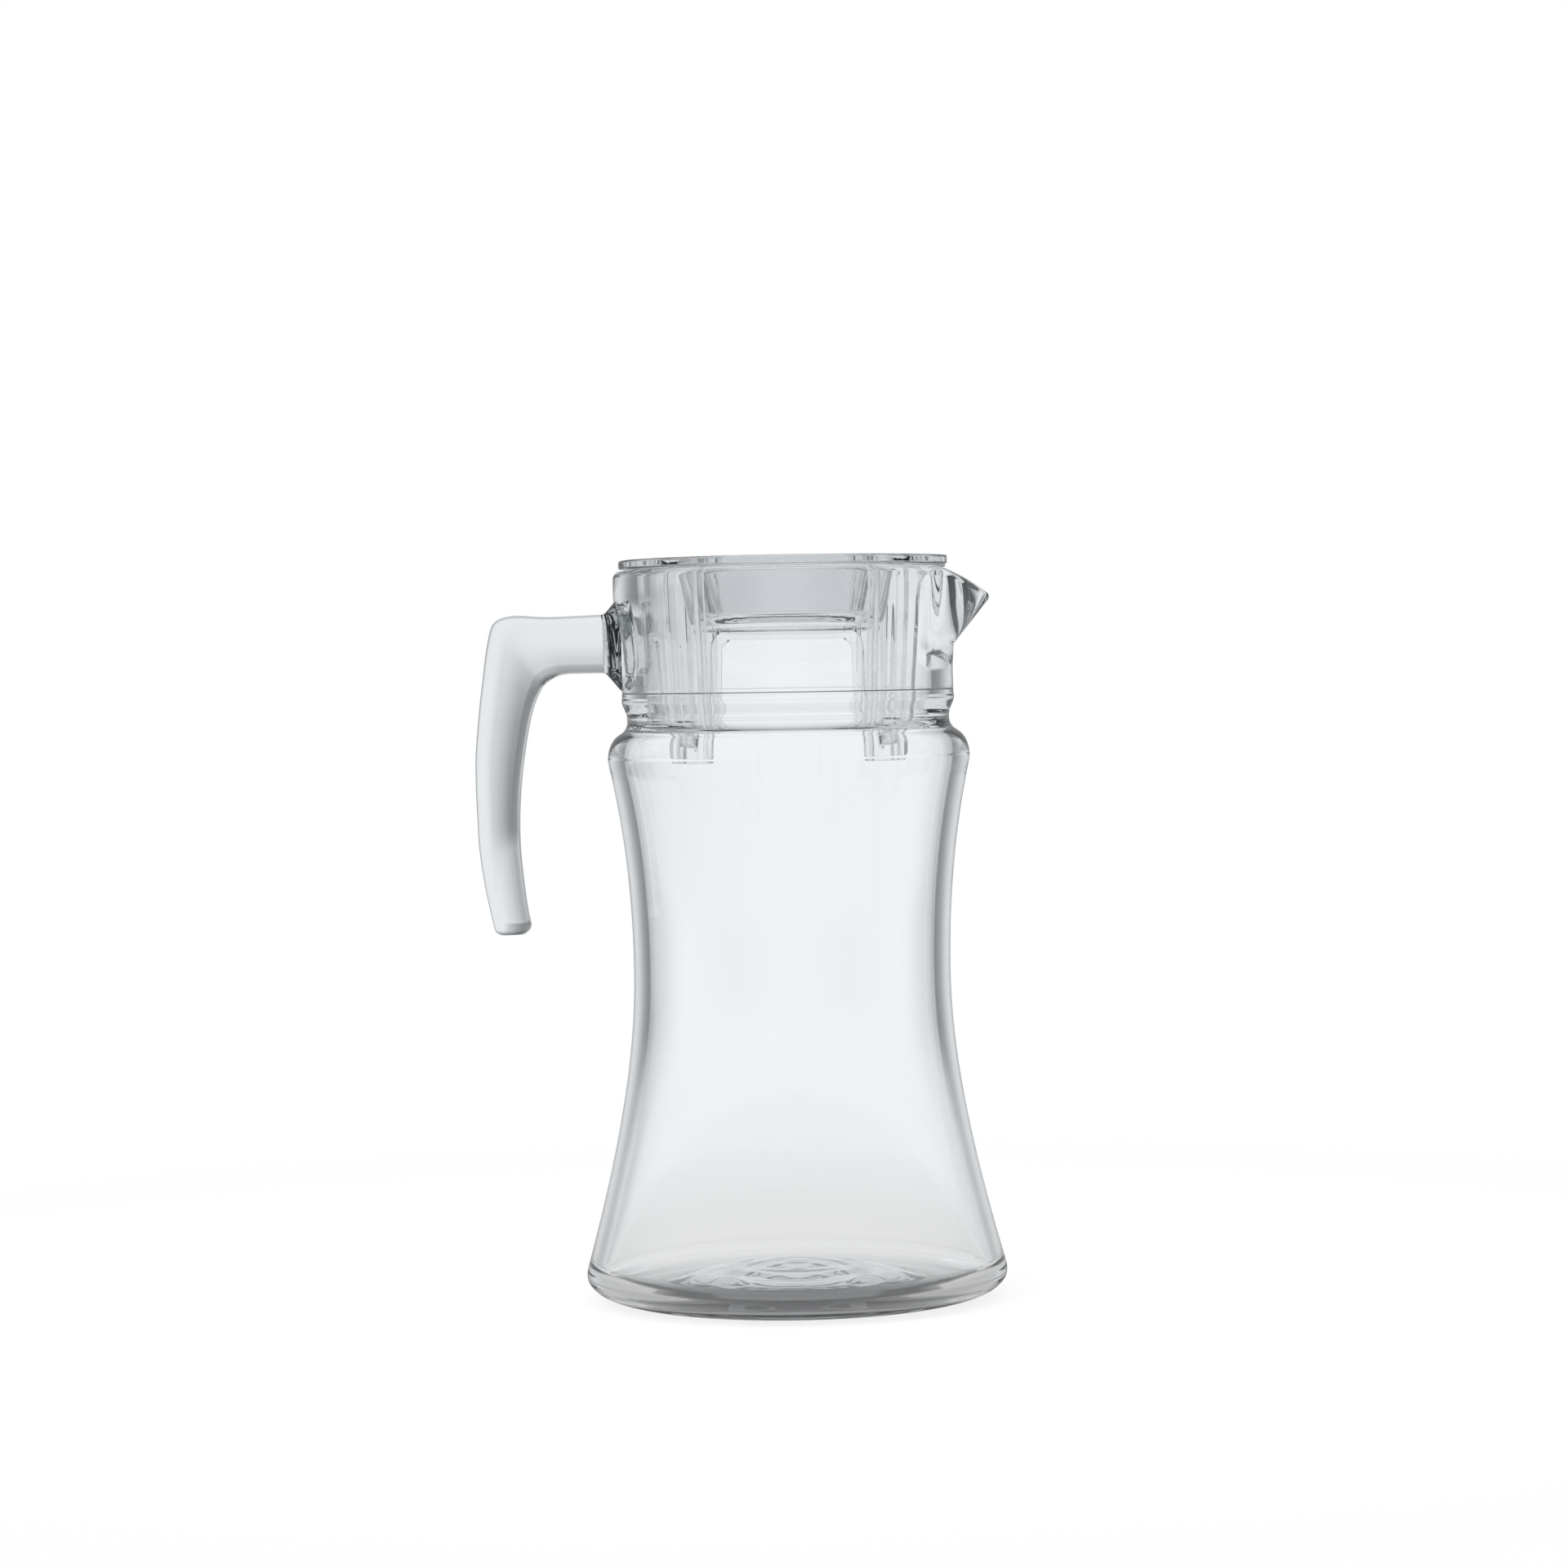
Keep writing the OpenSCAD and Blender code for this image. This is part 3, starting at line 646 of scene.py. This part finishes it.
def pocket(name, grow, top, floor, turn):
    """Solid of a finger pocket, grown by a wall, with a rounded edge at its floor."""
    spin = Matrix.Rotation(math.radians(turn), 4, "Z")
    rings = []
    slope = POCKET_DRAFT / (top - floor)
    turns = [math.radians(15 * i) for i in range(7)]
    levels = [(top, 0)] + [(floor + POCKET_EDGE * (1 - math.sin(t)),
                            POCKET_EDGE * (1 - math.cos(t))) for t in turns]
    for z, inset in levels:
        r = POCKET_R - slope * (top - z) + grow - inset
        ring = pocket_outline(r, BAR_HALF_W - grow + inset, POCKET_CORNER - inset)
        rings.append([spin @ Vector((x, y, z)) for x, y in ring])
    return loft(name, rings)


def catch(turn):
    """One catch: the part of a spindle that stands out of its leg."""
    swing = (CATCH_HALF_W ** 2 + CATCH_PROUD ** 2) / (2 * CATCH_PROUD)
    spin = Matrix.Rotation(math.radians(turn), 4, "Z")
    rings = []
    levels, half_steps = 20, 10
    for i in range(1, levels):
        up = -1 + 2 * i / levels
        proud = CATCH_PROUD * (math.cos(math.asin(up)) if up < 0 else math.cos(up * math.pi / 2))
        ring = []
        for k in range(-half_steps, half_steps + 1):
            a = math.asin(CATCH_HALF_W / swing) * k / half_steps
            reach = (swing * math.cos(a) - swing + CATCH_PROUD) * proud / CATCH_PROUD
            ring.append((CATCH_R + reach, swing * math.sin(a), CATCH_Z + up * CATCH_HALF_H))
        ring += [(CATCH_R - 1, ring[-1][1], ring[-1][2]), (CATCH_R - 1, ring[0][1], ring[0][2])]
        rings.append([spin @ Vector(p) for p in ring])
    return loft("catch", rings)


def lid_moulding():
    """Plate, pockets, skirt, legs and catches as one closed moulding."""
    lid = plate()
    outer = [pocket("pocket", LID_WALL, PLATE_Z + OVERRUN, POCKET_FLOOR_Z - LID_WALL, turn)
             for turn in (0, 180)]
    combine(lid, outer + [skirt_and_legs()], "UNION")
    combine(lid, [catch(turn) for turn in LEG_TURNS], "UNION")
    rooms = [pocket("room", 0, LID_TOP_Z + 0.5, POCKET_FLOOR_Z, turn) for turn in (0, 180)]
    combine(lid, rooms, "DIFFERENCE")
    soften(lid, EDGE_SOFTNESS)
    smooth(lid, LID_SHARP_TURN)
    lid.data.materials.clear()
    lid.data.materials.append(clear_plastic())
    return lid


def seat_ring():
    """Ring under the plate that the lid rests on."""
    r, w = SEAT_R, SEAT_W
    outline = rounded([(r - w / 2, SEAT_Z), (r, SEAT_Z), (r, PLATE_Z), (r - w, PLATE_Z),
                       (r - w, SEAT_Z), (r - w / 2, SEAT_Z)], EDGE_SOFTNESS)
    ring = closed_lathe("seat_bead", outline[:-1], even_turns(240))
    smooth(ring, LID_SHARP_TURN)
    ring.data.materials.append(clear_plastic())
    return ring


# Materials

WHITE = (1, 1, 1, 1)
GLASS_IOR = 1.52
# Waves of the pressed glass: scale, strength and depth in millimetres
GLASS_WAVES = (40, 0.06, 0.4)


def material(name):
    """New material with its nodes, its shader and its output."""
    made = bpy.data.materials.new(name)
    made.use_nodes = True
    nodes = made.node_tree.nodes
    return made, nodes, made.node_tree.links, nodes["Principled BSDF"], nodes["Material Output"]


def surface_waves(nodes, links, shader, scale, strength, depth):
    """Faint waves over a surface; gives back their noise."""
    place = nodes.new("ShaderNodeTexCoord")
    noise = nodes.new("ShaderNodeTexNoise")
    noise.inputs["Scale"].default_value = scale
    noise.inputs["Detail"].default_value = 2
    links.new(place.outputs["Object"], noise.inputs["Vector"])
    bump = nodes.new("ShaderNodeBump")
    bump.inputs["Strength"].default_value = strength
    bump.inputs["Distance"].default_value = depth * MM
    links.new(noise.outputs["Fac"], bump.inputs["Height"])
    links.new(bump.outputs["Normal"], shader.inputs["Normal"])
    return noise


def absorb(nodes, links, output, colour, density):
    """Tint that grows with the thickness of the glass."""
    volume = nodes.new("ShaderNodeVolumeAbsorption")
    volume.inputs["Color"].default_value = colour
    volume.inputs["Density"].default_value = density
    links.new(volume.outputs["Volume"], output.inputs["Volume"])


def set_gloss(nodes, links, shader, noise, least, most):
    """Roughness that varies a little with the noise."""
    gloss = nodes.new("ShaderNodeMapRange")
    gloss.inputs["To Min"].default_value = least
    gloss.inputs["To Max"].default_value = most
    links.new(noise.outputs["Fac"], gloss.inputs["Value"])
    links.new(gloss.outputs["Result"], shader.inputs["Roughness"])


def clear_material(name, colour, ior, waves, gloss, tint, density):
    """Clear material with faint waves, a slight change of gloss and a tint that grows inside."""
    if name in bpy.data.materials:
        return bpy.data.materials[name]
    made, nodes, links, shader, output = material(name)
    shader.inputs["Base Color"].default_value = colour
    shader.inputs["IOR"].default_value = ior
    shader.inputs["Transmission Weight"].default_value = 1
    noise = surface_waves(nodes, links, shader, *waves)
    set_gloss(nodes, links, shader, noise, *gloss)
    absorb(nodes, links, output, tint, density)
    return made


def clear_glass():
    """Clear pressed glass with a faint grey tint in its thick places."""
    return clear_material("clear_glass", WHITE, GLASS_IOR, GLASS_WAVES, (0, 0.015),
                          (0.6, 0.64, 0.66, 1), 10)


def handle_glass():
    """The thick glass of the handle: a slightly soft skin, and a tint deeper than the jug's own
    glass, partly the glass's real tint and partly painted shade.
    """
    # Density 22 against the jug's 10 darkens the handle: painted shade over the glass's real tint
    return clear_material("handle_glass", WHITE, GLASS_IOR, GLASS_WAVES, (0.03, 0.06),
                          (0.6, 0.63, 0.64, 1), 22)


def clear_plastic():
    """Clear glossy moulded plastic."""
    return clear_material("clear_plastic", (0.955, 0.958, 0.962, 1), 1.5, (60, 0.02, 0.1),
                          (0, 0.03), (0.7, 0.72, 0.73, 1), 14)


# Studio

def math_node(nodes, links, operation, *values):
    """Arithmetic node fed by numbers or by other nodes' outputs."""
    node = nodes.new("ShaderNodeMath")
    node.operation = operation
    for socket, value in zip(node.inputs, values):
        if isinstance(value, (int, float)):
            socket.default_value = value
        else:
            links.new(value, socket)
    return node.outputs[0]


def blend(nodes, links, share, first, second):
    """Number between two others, by a share from 0 to 1."""
    node = nodes.new("ShaderNodeMix")
    for socket, value in zip(node.inputs, (share, None, first, second)):
        if isinstance(value, (int, float)):
            socket.default_value = value
        elif value is not None:
            links.new(value, socket)
    return node.outputs[0]


def spread(nodes, links, value, low_in, high_in, low_out, high_out):
    """Value mapped smoothly from one range to another."""
    node = nodes.new("ShaderNodeMapRange")
    node.interpolation_type = "SMOOTHSTEP"
    for name, number in (("From Min", low_in), ("From Max", high_in),
                         ("To Min", low_out), ("To Max", high_out)):
        node.inputs[name].default_value = number
    links.new(value, node.inputs["Value"])
    return node.outputs["Result"]


def ray_kinds(nodes, links):
    """What a ray is, how far it was reflected before, and whether it is a plain reflection."""
    path = nodes.new("ShaderNodeLightPath")
    turned = spread(nodes, links, path.outputs["Glossy Depth"], 0, 1, 0, 1)
    mirror = math_node(nodes, links, "SUBTRACT", path.outputs["Is Glossy Ray"],
                       path.outputs["Is Transmission Ray"])
    return path.outputs, turned, mirror


# Ranges for spread: from, to, what the first gives and what the last gives. Parts of a
# direction run from -1 to 1, distances on the floor are in metres, and white is 1.
LEFT_SIDE = (-0.05, 0.05, 1, 0)
LEFT_HEIGHT = (-0.075, -0.03, 0, 1)
LEFT_FLAG = (0, 0.58, 1, 0.25)
RIGHT_FLAG = (0.12, 0.7, 1, 0.45)
CAMERA_SIDE = (-0.2, 0.2, 1, 0)
NEAR_FLAG = (0.14, 0.68, 0.8, 0.55)
FAR_FLAG = (0.14, 0.68, 1, 0.25)
LEVEL_UP = (-0.028, 0.042, 0, 1)
CEILING = (0.12, 0.6, 1, 0.4)
GROUND = (-0.7, -0.2, 0.3, 1)
# Painted shadow on the floor seen through the glass: dark in front of the jug and under it
FRONT_PAINTED_SHADOW = (0.08, 0.118, 0.02, 0.64)
UNDER_PAINTED_SHADOW = (0.02, 0.11, 0.02, 0.64)
FLOOR_FADE = (0.15, 0.5, 0, 1)
UPPER_SHADE = 0.82
MIRROR_SHADE = 0.4
FLOOR_MIRROR_GLOW = 0.2
FLOOR_GLOW = 0.82
RED_SHARE = 0.955
GREEN_SHARE = 0.98


def aside_share(nodes, links, parts):
    """How far a direction points between the four main ones, from 0 to 0.7."""
    x = math_node(nodes, links, "ABSOLUTE", parts["X"])
    y = math_node(nodes, links, "ABSOLUTE", parts["Y"])
    flat = math_node(nodes, links, "SQRT", math_node(
        nodes, links, "ADD", math_node(nodes, links, "MULTIPLY", x, x),
        math_node(nodes, links, "MULTIPLY", y, y)))
    return math_node(nodes, links, "DIVIDE", math_node(nodes, links, "MINIMUM", x, y), flat)


def flags(nodes, links, parts, turned):
    """Brightness all round, with one set of flags for direct rays and one for reflected rays."""
    aside = aside_share(nodes, links, parts)
    left = math_node(nodes, links, "MULTIPLY", spread(nodes, links, parts["X"], *LEFT_SIDE),
                     spread(nodes, links, parts["Z"], *LEFT_HEIGHT))
    straight = blend(nodes, links, left, spread(nodes, links, aside, *RIGHT_FLAG),
                     spread(nodes, links, aside, *LEFT_FLAG))
    near = spread(nodes, links, parts["Y"], *CAMERA_SIDE)
    level = blend(nodes, links, near, spread(nodes, links, aside, *FAR_FLAG),
                  spread(nodes, links, aside, *NEAR_FLAG))
    above = spread(nodes, links, parts["Z"], *LEVEL_UP)
    bent = blend(nodes, links, above, level, UPPER_SHADE)
    return blend(nodes, links, turned, straight, bent)


def steep_shade(nodes, links, height, turned):
    """Darker ceiling and ground, for rays that weren't reflected."""
    up = spread(nodes, links, height, *CEILING)
    down = spread(nodes, links, height, *GROUND)
    return blend(nodes, links, turned, math_node(nodes, links, "MULTIPLY", up, down), 1)


def studio_world():
    """White surroundings with soft dark flags between the four main directions."""
    world = bpy.data.worlds.new("studio")
    bpy.context.scene.world = world
    world.use_nodes = True
    nodes, links = world.node_tree.nodes, world.node_tree.links
    place = nodes.new("ShaderNodeTexCoord")
    split = nodes.new("ShaderNodeSeparateXYZ")
    links.new(place.outputs["Generated"], split.inputs["Vector"])
    parts = split.outputs
    rays, turned, mirror = ray_kinds(nodes, links)
    sides = flags(nodes, links, parts, turned)
    shade = math_node(nodes, links, "MULTIPLY", blend(nodes, links, mirror, sides, MIRROR_SHADE),
                      steep_shade(nodes, links, parts["Z"], turned))
    plain = math_node(nodes, links, "MAXIMUM", rays["Is Camera Ray"], rays["Is Diffuse Ray"])
    background = nodes["Background"]
    links.new(blend(nodes, links, plain, shade, 1), background.inputs["Strength"])
    tint = nodes.new("ShaderNodeCombineColor")
    links.new(blend(nodes, links, plain, RED_SHARE, 1), tint.inputs["Red"])
    links.new(blend(nodes, links, plain, GREEN_SHARE, 1), tint.inputs["Green"])
    tint.inputs["Blue"].default_value = 1
    links.new(tint.outputs["Color"], background.inputs["Color"])


def distance_from(nodes, links, place, centre):
    """Distance of a place on the floor from a centre."""
    node = nodes.new("ShaderNodeVectorMath")
    node.operation = "DISTANCE"
    node.inputs[1].default_value = centre
    links.new(place.outputs["Object"], node.inputs[0])
    return node.outputs["Value"]


def floor_material():
    """Pale floor that keeps the object's shadow, glows evenly for the camera, shows a painted shadow
    under and in front of the glass to rays through it, and fades to white.
    """
    made, nodes, links, shader, output = material("pale_floor")
    shader.inputs["Base Color"].default_value = (0.22, 0.22, 0.22, 1)
    shader.inputs["Roughness"].default_value = 0.9
    shader.inputs["Specular IOR Level"].default_value = 0
    rays, turned, mirror = ray_kinds(nodes, links)
    place = nodes.new("ShaderNodeTexCoord")
    from_axis = distance_from(nodes, links, place, (0, 0, 0))
    from_shadow_middle = distance_from(nodes, links, place, (0, -0.06, 0))
    through = math_node(nodes, links, "MAXIMUM", rays["Is Glossy Ray"],
                        rays["Is Transmission Ray"])
    # Painted shadow: the glow seen through the glass is dimmed under the jug and in a patch centred
    # in front of it
    painted_shadow_glow = blend(nodes, links, turned, spread(nodes, links, from_shadow_middle, *FRONT_PAINTED_SHADOW),
                      spread(nodes, links, from_axis, *UNDER_PAINTED_SHADOW))
    bent = blend(nodes, links, mirror, math_node(nodes, links, "MULTIPLY", through, painted_shadow_glow),
                 FLOOR_MIRROR_GLOW)
    glow = nodes.new("ShaderNodeEmission")
    links.new(blend(nodes, links, rays["Is Camera Ray"], bent, FLOOR_GLOW),
              glow.inputs["Strength"])
    both = nodes.new("ShaderNodeAddShader")
    links.new(shader.outputs["BSDF"], both.inputs[0])
    links.new(glow.outputs["Emission"], both.inputs[1])
    clear = nodes.new("ShaderNodeBsdfTransparent")
    edge = nodes.new("ShaderNodeMixShader")
    links.new(spread(nodes, links, from_axis, *FLOOR_FADE), edge.inputs["Fac"])
    links.new(both.outputs["Shader"], edge.inputs[1])
    links.new(clear.outputs["BSDF"], edge.inputs[2])
    links.new(edge.outputs["Shader"], output.inputs["Surface"])
    return made


def floor():
    """Flat floor just under the foot."""
    size = 1.5
    verts = [(-size, -size, 0), (size, -size, 0), (size, size, 0), (-size, size, 0)]
    mesh = bpy.data.meshes.new("floor")
    mesh.from_pydata(verts, [], [(0, 1, 2, 3)])
    mesh.materials.append(floor_material())
    obj = bpy.data.objects.new("floor", mesh)
    obj.location.z = -0.0002
    bpy.context.scene.collection.objects.link(obj)


# Camera: place in metres, tilt in degrees and roll in radians
CAMERA_PLACE = (-0.0017, -1.3965, 0.2025)
CAMERA_TILT = 88.544
CAMERA_ROLL = -0.0168
CAMERA_LENS = 98.6


def camera():
    """Camera at the photograph's place, level with the lid's legs."""
    data = bpy.data.cameras.new("camera")
    data.lens = CAMERA_LENS
    data.sensor_width = 36
    data.clip_start = 0.01
    obj = bpy.data.objects.new("camera", data)
    bpy.context.scene.collection.objects.link(obj)
    obj.matrix_world = (Matrix.Translation(CAMERA_PLACE)
                        @ Matrix.Rotation(math.radians(CAMERA_TILT), 4, "X")
                        @ Matrix.Rotation(CAMERA_ROLL, 4, "Z"))
    bpy.context.scene.camera = obj


# Lamp: place, aim and size in metres, power in watts
LAMP_PLACE = (-0.9, -1.0, 1.3)
LAMP_AIM = (0, 0, 0.12)
LAMP_SIZE = (0.9, 0.6)
LAMP_POWER = 6


def key_light():
    """Large soft lamp above and in front."""
    data = bpy.data.lights.new("soft_box", "AREA")
    data.shape = "RECTANGLE"
    data.size, data.size_y = LAMP_SIZE
    data.energy = LAMP_POWER
    obj = bpy.data.objects.new("soft_box", data)
    obj.visible_glossy = False
    obj.visible_transmission = False
    bpy.context.scene.collection.objects.link(obj)
    place = Vector(LAMP_PLACE)
    aim = Vector(LAMP_AIM) - place
    obj.matrix_world = Matrix.Translation(place) @ aim.to_track_quat("-Z", "Y").to_matrix().to_4x4()


def dress():
    """All pieces, each riding its body and standing for its CAD nodes."""
    bodies = frame["record"]["behaviour"]["bodies"]
    for obj, body, slot in ((glass_jug(), "jug", "jug_glass"),
                            (lid_moulding(), "lid", "lid_plastic"),
                            (seat_ring(), "lid_lift", "lid_plastic")):
        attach(obj, body)
        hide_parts(*bodies[body])


camera()
studio_world()
floor()
key_light()
dress()
bpy.context.scene.view_settings.view_transform = "Standard"
bpy.context.scene.cycles.max_bounces = 40
bpy.context.scene.cycles.transmission_bounces = 40
bpy.context.scene.cycles.glossy_bounces = 10
